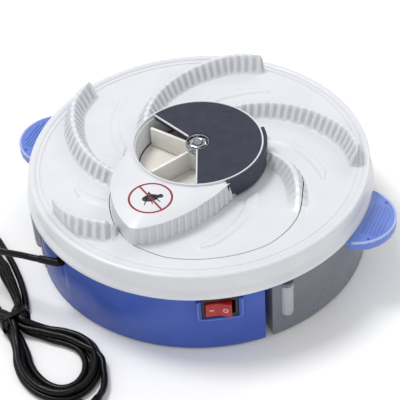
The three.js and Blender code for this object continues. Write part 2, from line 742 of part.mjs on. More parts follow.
[hoodFrom, hoodTo].forEach((angle, i) => {
  const side = i === 0 ? -1 : 1;
  const low = side < 0 ? -1.2 - gap : gap;
  const strip = block(nutClearRadius, hoodRadius, low, low + 1.2, vaneTop + 0.6, drumTop);
  addPart(`hood_edge_strip_${i + 1}`, strip.rotateZ(radians(angle)), 'white');
});

// ---- power cord ---------------------------------------------------------------------------------
// Leaves the gland, sinks to the table, is wound into a tied bow and ends in a small metal plug.
const hankBottom = 1.2;
const hankThickness = 5.6;
const hankMiddle = hankBottom + hankThickness / 2;
const strandBand = 8; // width of the bundle of strands seen from above
const waist = { x: -69, y: -122, turn: -32, length: 20, width: 13 };
const nearLoop = { x: -36, y: -138.5, long: 31, short: 24.5, turn: -8 };
const farLoop = { x: -100, y: -98.5, long: 34, short: 17, turn: 134.5 };

function loopShape({ x, y, long, short, turn }) {
  const shape = new THREE.Shape();
  shape.absellipse(x, y, long, short, 0, 2 * Math.PI, false, radians(turn));
  const hole = new THREE.Path();
  hole.absellipse(x, y, long - strandBand, short - strandBand, 0, 2 * Math.PI, false, radians(turn));
  shape.holes.push(hole);
  return plate(shape, hankBottom, hankBottom + hankThickness, 28);
}

function atWaist(geometry) {
  return geometry.rotateZ(radians(waist.turn)).translate(waist.x, waist.y, 0);
}

const waistBlock = atWaist(block(-waist.length / 2, waist.length / 2, -waist.width / 2, waist.width / 2,
  hankBottom, hankBottom + hankThickness));
addPart('cord_hank', geometryOf(joined(loopShape(nearLoop), loopShape(farLoop), waistBlock)), 'black');

const tieWidth = 5;
const tieThickness = 0.8;
const tieHalf = waist.width / 2 + gap;
addPart('hank_tie', geometryOf(drilled(
  solidOf(atWaist(block(-tieWidth / 2, tieWidth / 2, -tieHalf - tieThickness, tieHalf + tieThickness,
    hankBottom - gap - tieThickness, hankBottom + hankThickness + gap + tieThickness))),
  atWaist(block(-tieWidth, tieWidth, -tieHalf, tieHalf, hankBottom - gap, hankBottom + hankThickness + gap)),
)), 'black');

// Point on the outside of a loop of the bow, out from it by a distance.
function besideLoop({ x, y, long, short, turn }, degrees, distance) {
  const onEllipse = new THREE.Vector2(
    (long + distance) * Math.cos(radians(degrees)), (short + distance) * Math.sin(radians(degrees)),
  ).rotateAround(new THREE.Vector2(), radians(turn));
  return [x + onEllipse.x, y + onEllipse.y, hankMiddle];
}

addPart('cord_lead', tube([
  bootPoint(bootLength + gap),
  bootPoint(bootLength + 5),
  [-73, -97.2, 37.6],
  [-85, -96.4, 35],
  [-97, -94.6, 30.5],
  [-110, -92.6, 23.5],
  [-124, -91.2, 14],
  [-138, -89, 6.8],
  [-150, -81, hankMiddle],
  [-147, -68, hankMiddle],
  besideLoop(farLoop, 0, 12),
  besideLoop(farLoop, 0, gap),
], cordRadius, 8, 60), 'black');

const plugEnd = [3.2, -153];
const plugTurn = -92;
const plugMiddle = 4.1;
const reliefLength = 8;
addPart('cord_tail', tube([
  besideLoop(nearLoop, 24, gap),
  besideLoop(nearLoop, 24, 3),
  [2.6, -139, hankMiddle],
  [4, -146, plugMiddle],
  [plugEnd[0], plugEnd[1] + gap, plugMiddle],
], cordRadius, 8, 14), 'black');

// The plug is built along +X and laid on the table at the end of the cord.
function atPlug(geometry) {
  return geometry.rotateZ(radians(plugTurn)).translate(plugEnd[0], plugEnd[1], plugMiddle);
}

const plugLength = 24;
const plugWidth = 15.5;
const plugThickness = 7.8;
const shellWidth = 12;
const shellThickness = 4.5;
const shellLength = 12;
const plugFace = reliefLength + plugLength;
const relief = turned([[0, 0], [2.3, 0], [3.2, reliefLength + 1], [0, reliefLength + 1]], 12).rotateY(Math.PI / 2);
addPart('plug_body', atPlug(geometryOf(joined(relief,
  block(reliefLength, plugFace, -plugWidth / 2, plugWidth / 2, -plugThickness / 2, plugThickness / 2)))), 'black');

addPart('plug_shell', atPlug(geometryOf(drilled(
  solidOf(block(plugFace + gap, plugFace + shellLength, -shellWidth / 2, shellWidth / 2,
    -shellThickness / 2, shellThickness / 2)),
  block(plugFace + 1, plugFace + shellLength + 1, -shellWidth / 2 + 0.4, shellWidth / 2 - 0.4,
    -shellThickness / 2 + 0.4, shellThickness / 2 - 0.4),
))), 'steel');

addPart('plug_tongue', atPlug(block(plugFace + 1 + gap, plugFace + shellLength - 0.8,
  -shellWidth / 2 + 0.7, shellWidth / 2 - 0.7, -0.1, shellThickness / 2 - 0.7)), 'white');

export default group;
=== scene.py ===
# Turntable fly trap: a blue base with two carrying ears, a smoked grey tray that slides out of the
# back, a white lid with five ribbed spiral ridges, and a slow rotor under a dark hood.
# Metres, +Z up, the rotor's axis through the origin; lengths are written in millimetres times MM.
import math
import bpy
import numpy as np
from mathutils import Matrix, Vector


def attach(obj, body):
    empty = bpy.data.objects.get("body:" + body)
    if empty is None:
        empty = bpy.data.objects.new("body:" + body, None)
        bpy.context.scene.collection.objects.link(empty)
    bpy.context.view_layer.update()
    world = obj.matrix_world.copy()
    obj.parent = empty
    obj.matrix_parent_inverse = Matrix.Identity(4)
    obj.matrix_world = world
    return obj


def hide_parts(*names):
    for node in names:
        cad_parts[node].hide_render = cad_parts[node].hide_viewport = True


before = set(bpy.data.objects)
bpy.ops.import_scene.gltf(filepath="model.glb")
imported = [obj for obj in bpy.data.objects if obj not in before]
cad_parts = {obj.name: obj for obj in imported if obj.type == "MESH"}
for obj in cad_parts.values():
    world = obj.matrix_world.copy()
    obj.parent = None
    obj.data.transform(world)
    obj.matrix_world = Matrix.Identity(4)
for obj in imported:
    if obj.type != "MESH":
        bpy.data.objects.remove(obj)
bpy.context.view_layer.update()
MM = 0.001

# ---- camera --------------------------------------------------------------------------------------
# Stands 0.8 m away, in front and to the right of the trap, and looks down on it through a long
# lens. It is tipped a little to one side, and its lens is shifted to frame the trap off centre.
camera_distance = 804.3 * MM
camera_elevation = math.radians(43.36)
camera_azimuth = math.radians(26.5)
camera_roll = math.radians(-3.82)
camera_lens = 111.6
camera_film = 36
camera_shift = (-0.0083, 0.0661)

to_camera = Vector((
    math.sin(camera_azimuth) * math.cos(camera_elevation),
    -math.cos(camera_azimuth) * math.cos(camera_elevation),
    math.sin(camera_elevation),
))
level_right = Vector((math.cos(camera_azimuth), math.sin(camera_azimuth), 0))
level_up = to_camera.cross(level_right)
camera_right = level_right * math.cos(camera_roll) + level_up * math.sin(camera_roll)
camera_up = to_camera.cross(camera_right)
camera_data = bpy.data.cameras.new("camera")
camera_data.lens = camera_lens
camera_data.sensor_width = camera_film
camera_data.shift_x, camera_data.shift_y = camera_shift
camera = bpy.data.objects.new("camera", camera_data)
camera.matrix_world = Matrix.Translation(to_camera * camera_distance) @ Matrix(
    (camera_right, camera_up, to_camera)).transposed().to_4x4()
bpy.context.scene.collection.objects.link(camera)
bpy.context.scene.camera = camera

# ---- power cord ----------------------------------------------------------------------------------
# A round black PVC lead, 4 mm thick. It leaves the boot at the back left of the housing, sinks
# to the table, is wound four times into a bow with a tie round its waist, and ends in its plug.
cord_radius = 2
boot_end = Vector((-61.81, -97.05, 38.5))
lead_route = [
    (-66.5, -97.4, 38.4), (-73, -97.2, 37.6), (-85, -96.4, 35), (-97, -94.6, 30.5), (-110, -92.6, 23.5),
    (-124, -91.2, 14), (-138, -88.4, 7), (-149, -80, 3), (-151.5, -69, 2.4), (-146, -59.5, 2.4),
    (-135, -55.5, 2.4), (-123, -58.5, 2.4),
]
waist_place = Vector((-69, -122))
near_turn = -26.6  # degrees; the way each loop of the bow leaves its waist
far_turn = 134.5
beside_far_loop = [(66, -9.5), (46, -11.6), (26, -11.4), (11, -9.2)]
near_outline = [(14, 11), (26, 20), (38, 25), (50, 24), (60, 18.5), (67, 9), (69, -1.5), (65.5, -11),
                (56, -18), (43, -20.5), (28, -17.5), (14, -10)]
far_outline = [(14, 10.5), (28, 18.5), (43, 21.5), (57, 20.5), (67, 15.5), (70.5, 8), (67, 1), (57, -5.5),
               (43, -7), (28, -7), (14, -6.5)]
slack_outline = [(14, 7), (28, 9), (42, 11), (54, 12), (62.5, 9), (65, 3), (61, -2.5), (52, -5.2),
                 (42, -5.2), (28, -5.2), (14, -6)]
turns = 4
slack_turn = 3
near_inset = [0, 4.2, 2.1, 8.4, 6.3]
far_inset = [0, 4.2, 2.1, 0]
low_layer = 2.4
high_layer = 6
layer_of_turn = [low_layer, low_layer, high_layer, low_layer, high_layer]
waist_out = [(6.3, 3), (4.2, 6.6), (2.1, 10.2), (2.1, 3), (0, 6.6)]
waist_back = [(-6.3, 3), (-4.2, 6.6), (-2.1, 10.2), (-2.1, 3)]
tail_route = [(-8.5, -127.5, 5.4), (-3.2, -134.5, 4.4), (0.8, -141, 4.1), (3, -147, 4.1)]
plug_place = Vector((3.2, -153, 4.1))


def on_bow(turn, along, aside, height):
    place = waist_place + Matrix.Rotation(math.radians(turn), 2) @ Vector((along, aside))
    return (place.x, place.y, height)


def drawn_in(outline, inset):
    middle = Vector((sum(p[0] for p in outline) / len(outline), sum(p[1] for p in outline) / len(outline)))
    points = []
    for point in outline:
        arm = Vector(point) - middle
        points.append(middle + arm * (1 - inset / max(arm.length, 1)))
    return points


cord_route = [tuple(boot_end)] + lead_route
cord_route += [on_bow(far_turn, along, aside, low_layer) for along, aside in beside_far_loop]
for k in range(turns):
    aside, height = waist_out[k]
    cord_route.append(on_bow(near_turn, 0, aside, height))
    near_side = drawn_in(near_outline, near_inset[k])
    cord_route += [on_bow(near_turn, x, y, layer_of_turn[k]) for x, y in near_side]
    aside, height = waist_back[k]
    cord_route.append(on_bow(near_turn, 0, aside, height))
    far_shape, height = (slack_outline, high_layer) if k == slack_turn else (far_outline, layer_of_turn[k])
    cord_route += [on_bow(far_turn, x, y, height) for x, y in drawn_in(far_shape, far_inset[k])]
aside, height = waist_out[turns]
cord_route.append(on_bow(near_turn, 0, aside, height))
last_side = drawn_in(near_outline, near_inset[turns])[:3]
cord_route += [on_bow(near_turn, x, y, layer_of_turn[turns]) for x, y in last_side]
cord_route += tail_route + [tuple(plug_place)]


def cord_curve(name, route, radius):
    curve = bpy.data.curves.new(name, "CURVE")
    curve.dimensions = "3D"
    curve.bevel_depth = 1  # the points' own radius gives the thickness, so the curve's box is true
    curve.bevel_resolution = 3
    curve.resolution_u = 8
    curve.use_fill_caps = True
    spline = curve.splines.new("BEZIER")
    spline.bezier_points.add(len(route) - 1)
    for point, place in zip(spline.bezier_points, route):
        point.co = Vector(place) * MM
        point.radius = radius * MM
        point.handle_left_type = point.handle_right_type = "AUTO"
    piece = bpy.data.objects.new(name, curve)
    bpy.context.scene.collection.objects.link(piece)
    return piece


cord = cord_curve("power_cord", cord_route, cord_radius)
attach(cord, "base")
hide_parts("cord_lead", "cord_hank", "cord_tail")

# ---- floor and lights ----------------------------------------------------------------------------
# A plain pale sheet under the trap, a white surround, and three soft round lamps: the strongest
# high on the left, a weak one at the front right, and one behind.
bpy.ops.object.select_all(action="DESELECT")
bpy.ops.mesh.primitive_plane_add(size=6)
floor = bpy.context.object
floor.name = "studio_floor"
floor_material = bpy.data.materials.new("studio_floor")
floor_material.use_nodes = True
floor_shader = floor_material.node_tree.nodes["Principled BSDF"]
floor_shader.inputs["Base Color"].default_value = (0.96, 0.96, 0.96, 1)
floor_shader.inputs["Roughness"].default_value = 0.9
floor.data.materials.append(floor_material)

world = bpy.data.worlds.new("studio")
world.use_nodes = True
world.node_tree.nodes["Background"].inputs["Color"].default_value = (1, 1, 1, 1)
world.node_tree.nodes["Background"].inputs["Strength"].default_value = 0.66
bpy.context.scene.world = world
bpy.context.scene.view_settings.view_transform = "Standard"


def soft_lamp(name, place, size, power):
    data = bpy.data.lights.new(name, "AREA")
    data.shape = "DISK"
    data.size = size
    data.energy = power
    lamp = bpy.data.objects.new(name, data)
    lamp.location = place
    lamp.rotation_euler = (-Vector(place)).to_track_quat("-Z", "Y").to_euler()
    bpy.context.scene.collection.objects.link(lamp)


soft_lamp("lamp_above_left", (-0.6, 0.1, 1.4), 0.5, 11)
soft_lamp("lamp_front_right", (0.9, -1.1, 0.7), 1.0, 2.5)
soft_lamp("lamp_behind", (0.3, 1.3, 1.0), 0.7, 4)

# ---- housing -------------------------------------------------------------------------------------
# Keyhole-shaped tub moulded in satin blue ABS, screwed shut from below; it holds the motor and the
# switch. Its edges are slightly rounded, as a moulding's are.


def linear(hexadecimal):
    parts = [int(hexadecimal[i:i + 2], 16) / 255 for i in (0, 2, 4)]
    return tuple(p / 12.92 if p <= 0.04045 else ((p + 0.055) / 1.055) ** 2.4 for p in parts) + (1,)


def moulded(name, colour, shade, roughness, mottle=70, grain=1400, bump=0.04, rubbed=0.1,
            groove_shade_colour=None):
    """Plastic or metal with cloudy colour, fine grain, faint rubbed streaks, uneven gloss and painted
    groove shade.
    """
    material = bpy.data.materials.new(name)
    material.use_nodes = True
    tree = material.node_tree
    nodes, links = tree.nodes, tree.links
    shader = nodes["Principled BSDF"]
    place = nodes.new("ShaderNodeTexCoord")

    def noise(scale, detail, source):
        node = nodes.new("ShaderNodeTexNoise")
        node.inputs["Scale"].default_value = scale
        node.inputs["Detail"].default_value = detail
        links.new(source, node.inputs["Vector"])
        return node.outputs["Fac"]

    def remap(source, low, high, to_low, to_high):
        node = nodes.new("ShaderNodeMapRange")
        sockets = ("From Min", "From Max", "To Min", "To Max")
        for socket, value in zip(sockets, (low, high, to_low, to_high)):
            node.inputs[socket].default_value = value
        links.new(source, node.inputs["Value"])
        return node.outputs["Result"]

    def mixed(factor, first, second):
        node = nodes.new("ShaderNodeMix")
        node.data_type = "RGBA"
        links.new(factor, node.inputs["Factor"])
        for index, value in ((6, first), (7, second)):
            if isinstance(value, tuple):
                node.inputs[index].default_value = value
            else:
                links.new(value, node.inputs[index])
        return node.outputs[2]

    cloud = remap(noise(mottle, 3, place.outputs["Object"]), 0.35, 0.7, 0, 1)
    body = mixed(cloud, linear(colour), linear(shade))
    stretch = nodes.new("ShaderNodeMapping")
    stretch.inputs["Scale"].default_value = (1, 9, 3)
    stretch.inputs["Rotation"].default_value = (0.3, 0.2, 0.7)
    links.new(place.outputs["Object"], stretch.inputs["Vector"])
    streaks = remap(noise(120, 6, stretch.outputs["Vector"]), 0.62, 0.8, 0, rubbed)
    paler = tuple(min(1, c * 1.5 + 0.02) for c in linear(colour)[:3]) + (1,)
    body = mixed(streaks, body, paler)
    # Painted shade: where the "groove" attribute marks a point deep in a groove, the colour darkens
    # towards the groove colour.
    if groove_shade_colour:
        depth = nodes.new("ShaderNodeAttribute")
        depth.attribute_name = "groove"
        body = mixed(depth.outputs["Fac"], body, linear(groove_shade_colour))
    links.new(body, shader.inputs["Base Color"])
    uneven = noise(mottle * 2.3, 4, place.outputs["Object"])
    gloss = remap(uneven, 0.3, 0.75, roughness - 0.06, roughness + 0.1)
    links.new(gloss, shader.inputs["Roughness"])
    relief = nodes.new("ShaderNodeBump")
    relief.inputs["Strength"].default_value = 0.35
    relief.inputs["Distance"].default_value = bump * MM
    links.new(noise(grain, 2, place.outputs["Object"]), relief.inputs["Height"])
    links.new(relief.outputs["Normal"], shader.inputs["Normal"])
    return material


def metal(name, colour, shade, roughness, mottle, bump=0.04):
    """The same uneven finish on bare or plated metal."""
    material = moulded(name, colour, shade, roughness, mottle=mottle, bump=bump)
    material.node_tree.nodes["Principled BSDF"].inputs["Metallic"].default_value = 1
    return material


def only(piece):
    bpy.ops.object.select_all(action="DESELECT")
    piece.select_set(True)
    bpy.context.view_layer.objects.active = piece


def refined(node, name, edge, segments=2):
    """Piece with the frame node's shape, its loose triangles merged and its sharp edges rounded."""
    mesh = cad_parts[node].data.copy()
    mesh.materials.clear()
    piece = bpy.data.objects.new(name, mesh)
    bpy.context.scene.collection.objects.link(piece)
    only(piece)
    bpy.ops.mesh.customdata_custom_splitnormals_clear()
    bpy.ops.object.mode_set(mode="EDIT")
    bpy.ops.mesh.select_all(action="SELECT")
    bpy.ops.mesh.remove_doubles(threshold=0.00001)
    bpy.ops.mesh.dissolve_limited(angle_limit=math.radians(1))
    bpy.ops.object.mode_set(mode="OBJECT")
    bevel = piece.modifiers.new("rounded edges", "BEVEL")
    bevel.width = edge * MM
    bevel.segments = segments
    bevel.angle_limit = math.radians(33)
    bpy.ops.object.modifier_apply(modifier=bevel.name)
    bpy.ops.object.shade_smooth_by_angle(angle=math.radians(35))
    return piece


def settle(piece, body, material, replaced=()):
    piece.data.materials.clear()
    piece.data.materials.append(material)
    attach(piece, body)
    if replaced:
        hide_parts(*replaced)


def smooth(piece, angle=35):
    only(piece)
    bpy.ops.object.shade_smooth_by_angle(angle=math.radians(angle))


def fix_place(piece):
    only(piece)
    bpy.ops.object.transform_apply(location=True, rotation=True, scale=True)


def raised_line(name, route, radius):
    """Thin round bead moulded along a route."""
    piece = cord_curve(name, route, radius)
    only(piece)
    bpy.ops.object.convert(target="MESH")
    return bpy.context.object


blue = moulded("satin_blue_plastic", "3352AC", "2E4CA3", 0.38, mottle=40)
housing = refined("base_housing", "housing", 0.5)
settle(housing, "base", blue, ["base_housing"])
cover = refined("bottom_cover", "housing_cover", 0.3)
settle(cover, "base", blue, ["bottom_cover"])

# Raised line moulded round three sides of the switch; its blue is painted paler all along as a highlight.
wall_radius = 105
switch_height = 35.2
pad_face = 0.9
at_switch = (Matrix.Rotation(math.radians(-60), 4, "Z")
             @ Matrix.Translation((wall_radius * MM, 0, switch_height * MM)))
line_half, line_low, line_top, line_corner = 12.6, -8.4, 6, 2
line_cut = 0.6  # how far the middle of each rounded corner stands in from the sharp one
line_on_wall = [
    (-line_half, line_top), (-line_half, line_low + line_corner),
    (-line_half + line_cut, line_low + line_cut), (-line_half + line_corner, line_low),
    (line_half - line_corner, line_low), (line_half - line_cut, line_low + line_cut),
    (line_half, line_low + line_corner), (line_half, line_top),
]
line_route = []
for across_wall, up_wall in line_on_wall:
    line_route.append(at_switch @ (Vector((pad_face, across_wall, up_wall)) * MM) / MM)
frame_highlight_blue = moulded("frame_blue_painted_highlight", "5A74C6", "5670C2", 0.35)
switch_line = raised_line("switch_frame_line", line_route, 0.5)
settle(switch_line, "base", frame_highlight_blue)

# ---- rubber feet ---------------------------------------------------------------------------------
# Four soft black rubber feet under the bottom cover, two near the front wall and two near the
# middle. Their finish is dull and grainy.
rubber = moulded("black_rubber", "26262A", "35353A", 0.8, mottle=300, grain=2600, bump=0.08)
for i in range(1, 5):
    foot = refined(f"rubber_foot_{i}", f"foot_{i}", 0.4)
    settle(foot, "base", rubber, [f"rubber_foot_{i}"])

# ---- deck and carrying ears ----------------------------------------------------------------------
# Round blue plate that closes the base; its two ears are the handles. Each ear has fine grip ribs
# inside a raised edge.
ear_blue = moulded("ear_blue_plastic", "6480CC", "5E79C6", 0.4)
deck = refined("deck_with_handles", "deck", 0.6)
settle(deck, "base", ear_blue, ["deck_with_handles"])
deck_top = 44
ear_centre = 101.5
ear_edge_radius = 24.2
ear_edge_half = 76  # degrees each way round the ear that its raised edge reaches
rib_spacing = 2.1
ear_rib_count = 6
first_rib = 110.2
longest_rib = 13
ear_dots = [(115.6, -17), (115.6, 17)]
# The ears' raised edges are painted a much paler blue, as a highlight along them.
ear_edge_highlight = moulded("ear_edge_painted_highlight", "A9B7E6", "A2B1E2", 0.35)


def bar(name, length, width, height, edge=0.2):
    """Block with rounded edges, centred on the origin."""
    bpy.ops.object.select_all(action="DESELECT")
    bpy.ops.mesh.primitive_cube_add(size=1)
    piece = bpy.context.object
    piece.name = name
    piece.scale = Vector((length, width, height)) * MM
    fix_place(piece)
    bevel = piece.modifiers.new("rounded edges", "BEVEL")
    bevel.width = edge * MM
    bevel.segments = 2
    bpy.ops.object.modifier_apply(modifier=bevel.name)
    return piece


def button(name, radius, height, edge=0.1):
    """Flat round disc centred on the origin."""
    bpy.ops.object.select_all(action="DESELECT")
    bpy.ops.mesh.primitive_cylinder_add(vertices=40, radius=radius * MM, depth=height * MM)
    piece = bpy.context.object
    piece.name = name
    bevel = piece.modifiers.new("rounded edges", "BEVEL")
    bevel.width = edge * MM
    bevel.segments = 2
    bpy.ops.object.modifier_apply(modifier=bevel.name)
    return piece


def hoop(name, radius, thickness):
    """Thin ring lying flat round the origin."""
    bpy.ops.object.select_all(action="DESELECT")
    bpy.ops.mesh.primitive_torus_add(major_radius=radius * MM, minor_radius=thickness / 2 * MM,
                                     major_segments=72, minor_segments=10)
    piece = bpy.context.object
    piece.name = name
    return piece


def carried(piece, *moves):
    """Piece carried to its place by matrices, its object left at the origin."""
    for move in moves:
        piece.data.transform(move)
    smooth(piece)
    return piece


def shifted(x, y, z):
    return Matrix.Translation(Vector((x, y, z)) * MM)


def spun(degrees, axis="Z"):
    return Matrix.Rotation(math.radians(degrees), 4, axis)


for side, side_name in ((-1, "left"), (1, "right")):
    edge_route = []
    for k in range(-ear_edge_half, ear_edge_half + 1, 4):
        x = side * (ear_centre + ear_edge_radius * math.cos(math.radians(k)))
        edge_route.append((x, ear_edge_radius * math.sin(math.radians(k)), deck_top - 0.2))
    ear_edge = raised_line(f"ear_edge_{side_name}", edge_route, 0.8)
    settle(ear_edge, "base", ear_edge_highlight)
    for k in range(ear_rib_count):
        out = first_rib + rib_spacing * k
        half = min(longest_rib, math.sqrt((ear_edge_radius - 3) ** 2 - (out - ear_centre) ** 2))
        rib = carried(bar(f"ear_rib_{side_name}_{k + 1}", 0.9, 2 * half, 0.7, 0.25),
                      shifted(side * out, 0, deck_top + 0.15))
        settle(rib, "base", ear_blue)
    for k, (out, along) in enumerate(ear_dots):
        dot = carried(button(f"ear_dot_{side_name}_{k + 1}", 0.9, 0.4),
                      shifted(side * out, along, deck_top + 0.05))
        settle(dot, "base", blue)

# ---- screws, motor and wiring --------------------------------------------------------------------
# Zinc-plated screws, a small geared motor in a steel can, brass switch terminals and PVC wires, with
# a nylon clamp on the cord. They keep their CAD shapes.
zinc = metal("zinc_plate", "AEB2B8", "8E9298", 0.35, mottle=400)
motor_steel = metal("motor_can_steel", "B4B8BE", "9A9EA6", 0.3, mottle=120)
brass = metal("terminal_brass", "C9A85C", "A88440", 0.35, mottle=500)
red_wire = moulded("red_wire_pvc", "A82020", "8E1818", 0.5, mottle=300)
black_wire = moulded("black_wire_pvc", "161618", "202024", 0.5, mottle=300)
clamp_black = moulded("clamp_nylon", "1C1C20", "26262A", 0.5, mottle=200)
inside_finish = {"gear_motor": motor_steel, "switch_terminal_1": brass, "switch_terminal_2": brass,
                 "wire_cord_to_motor": black_wire, "wire_cord_to_switch": red_wire,
                 "wire_switch_to_motor": red_wire, "cord_inner_end": black_wire, "cord_clamp": clamp_black,
                 "rotor_shaft": zinc}
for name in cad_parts:
    if "screw" in name:
        inside_finish[name] = zinc
for name, material in inside_finish.items():
    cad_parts[name].data.materials.clear()
    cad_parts[name].data.materials.append(material)

# ---- collecting tray -----------------------------------------------------------------------------
# C-shaped drawer moulded in smoked grey polystyrene; it slides out of the back. Two grip ribs with
# rounded ends stand on its wall, painted a paler grey as a highlight.
smoked = moulded("smoked_grey_plastic", "6E717A", "6A6D76", 0.24, mottle=14, bump=0.012, rubbed=0)
tray = refined("collecting_tray", "tray", 0.5)
settle(tray, "tray", smoked, ["collecting_tray"])
grip_radius = 4.15
grip_low = 14.6
grip_top = 40.2
grip_rounding = 2.2
grip_sunk = 1.5
# The grip ribs are painted a paler grey than the tray, as a highlight down their rounded fronts.
grip_highlight_grey = moulded("grip_painted_highlight", "A9ABB2", "A0A2A9", 0.3, mottle=40)
for k, degrees in enumerate((-37.5, 217.5)):
    bpy.ops.object.select_all(action="DESELECT")
    bpy.ops.mesh.primitive_cylinder_add(vertices=40, radius=grip_radius * MM,
                                        depth=(grip_top - grip_low) * MM)
    grip = bpy.context.object
    grip.name = f"tray_grip_{k + 1}"
    bevel = grip.modifiers.new("round ends", "BEVEL")
    bevel.width = grip_rounding * MM
    bevel.segments = 5
    bevel.angle_limit = math.radians(60)
    bpy.ops.object.modifier_apply(modifier=bevel.name)
    carried(grip, shifted(wall_radius - grip_sunk, 0, (grip_low + grip_top) / 2), spun(degrees))
    settle(grip, "tray", grip_highlight_grey)

# ---- switch --------------------------------------------------------------------------------------
# Panel rocker switch set in the housing's wall: a black nylon body and bezel, and a glossy red
# rocker on a pin, marked with a line and a ring.
switch_black = moulded("switch_nylon", "101014", "18181C", 0.42, mottle=300)
bezel = refined("switch_body", "switch_bezel", 0.35)
settle(bezel, "base", switch_black, ["switch_body"])
rocker_red = moulded("rocker_red_plastic", "AC1010", "960C0C", 0.22, mottle=160, bump=0.02)
rocker = refined("switch_rocker", "rocker", 0.5, segments=3)
settle(rocker, "rocker", rocker_red, ["switch_rocker"])
pivot = -3.9  # depth of the rocker's pin below the wall's face
rocker_tilt = -9
face_slope = 10.6
face_middle = 2.75
mark_out = 4
mark_paint = moulded("mark_paint", "E6CFC8", "DCC4BC", 0.5, mottle=400)
on_mark = carried(bar("rocker_mark_on", 0.3, 2.6, 0.55, 0.1),
                  spun(face_slope), shifted(face_middle, -mark_out, 0))
off_mark = carried(hoop("rocker_mark_off", 1.3, 0.5),
                   spun(90, "Y"), spun(-face_slope), shifted(face_middle, mark_out, 0))
for mark in (on_mark, off_mark):
    carried(mark, shifted(-pivot, 0, 0), spun(rocker_tilt), shifted(pivot, 0, 0), at_switch)
    settle(mark, "rocker", mark_paint)

# ---- cord boot and plug --------------------------------------------------------------------------
# Black PVC: the elbow boot is moulded on the cord, and the plug's body is moulded round a thin
# steel shell with a white plastic tongue.
cord_black = moulded("cord_pvc_black", "060608", "09090C", 0.3, mottle=260, bump=0.02, rubbed=0.02)
cord_black.node_tree.nodes["Principled BSDF"].inputs["Specular IOR Level"].default_value = 0.22
cord.data.materials.append(cord_black)
boot = refined("cord_gland", "cord_boot", 0.3)
settle(boot, "base", cord_black, ["cord_gland"])
plug = refined("plug_body", "plug_grip", 0.9, segments=3)
settle(plug, "base", cord_black, ["plug_body"])
bright_shell = metal("plug_steel", "C8CBD0", "B4B8BE", 0.25, mottle=300)
plug_sleeve = refined("plug_shell", "plug_sleeve", 0.12)
settle(plug_sleeve, "base", bright_shell, ["plug_shell"])
tongue_white = moulded("tongue_plastic", "E8E8E4", "DADAD6", 0.4, mottle=300)
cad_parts["plug_tongue"].data.materials.clear()
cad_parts["plug_tongue"].data.materials.append(tongue_white)

# ---- bait dish -----------------------------------------------------------------------------------
# Cream moulded dish, fixed under the rotor to hold the bait. It has an opening to the tray below
# the hood.
cream = moulded("cream_plastic", "E6E3DC", "DEDBD3", 0.45)
dish = refined("bait_dish", "dish", 0.4)
settle(dish, "base", cream, ["bait_dish"])

# ---- rotor ---------------------------------------------------------------------------------------
# Cream moulded hub with five flat vanes. A bright plated washer and nut hold it on the motor's
# shaft.
rotor_cream = moulded("rotor_cream_plastic", "E9E7E1", "E2E0D9", 0.42)
vanes = refined("rotor_vanes", "vanes", 0.35)
settle(vanes, "rotor", rotor_cream, ["rotor_vanes"])
bright = metal("bright_plate", "C4C8CE", "A8ACB2", 0.16, mottle=300, bump=0.015)
washer = refined("rotor_washer", "washer", 0.2)
settle(washer, "rotor", bright, ["rotor_washer"])
nut = refined("rotor_nut", "nut", 0.5)
settle(nut, "rotor", bright, ["rotor_nut"])

# ---- lid -----------------------------------------------------------------------------------------
# White lid lifted off over the deck. Five spiral ridges climb from the drum to the rim; grooves
# across their flanks make a row of ribs, and a shallow finger is pressed in each valley.
# The lid's grooves are painted a darker grey as shade, darkest at the bottom of each groove.
white = moulded("white_plastic", "D9DBDF", "D4D6DB", 0.33, mottle=40, groove_shade_colour="BBBDC4")
drum_radius = 40.2
arm_outer = 100
arm_sweep = 1.273  # degrees a ridge turns for each millimetre it comes in
ridge_ends = [-196.4, -124.4, -52.4, 19.6, 91.6]
short_ridge = 2
ridge_under_leaf = 1
ridge_from, ridge_to, ridge_steps = 38, 99.6, 240
ridge_low = 64  # height of a crest at the drum
ridge_climb = 6.6  # how much higher it is at the rim
foot_half = 6.4
crest_half = 1.3
floor_at_rim = 59
floor_fall = 2.4  # how much lower the valley floor is at the drum
rib_pitch = 5.2
groove_depth = 1.7
wall = 2.2
finger_back = 38.4  # degrees from a ridge to the finger in the valley beside it
finger_from, finger_to = 48.5, 78
finger_side_slope, finger_end_slope = 0.54, 1.85
finger_rise = 0.9
finger_flat, finger_foot = 2.0, 2.9
seam_points = [
    (-160, 40.3), (-147.5, 45), (-134.2, 55.4), (-127, 61), (-112.8, 70.9), (-103.4, 78), (-93.2, 83.9),
    (-86, 85.8), (-78, 88.4), (-65, 88.8), (-50, 88.8), (-39, 88.4), (-28, 84.4), (-18, 79.4), (-8, 72.6),
    (2, 67.6), (10, 61), (20, 51.5), (33, 40.3),
]


def eased(value, low, high):
    t = np.clip((value - low) / (high - low), 0, 1)
    return t * t * (3 - 2 * t)


def floor_height(radius):
    return floor_at_rim - floor_fall * (1 - (radius - drum_radius) / (arm_outer - drum_radius))


def rounded_line(points, angles, spread):
    """Radius at each angle along a polyline of (degrees, radius), its corners rounded by averaging."""
    at = [np.interp(angles + shift, [p[0] for p in points], [p[1] for p in points])
          for shift in np.linspace(-spread, spread, 9)]
    return np.mean(at, axis=0)


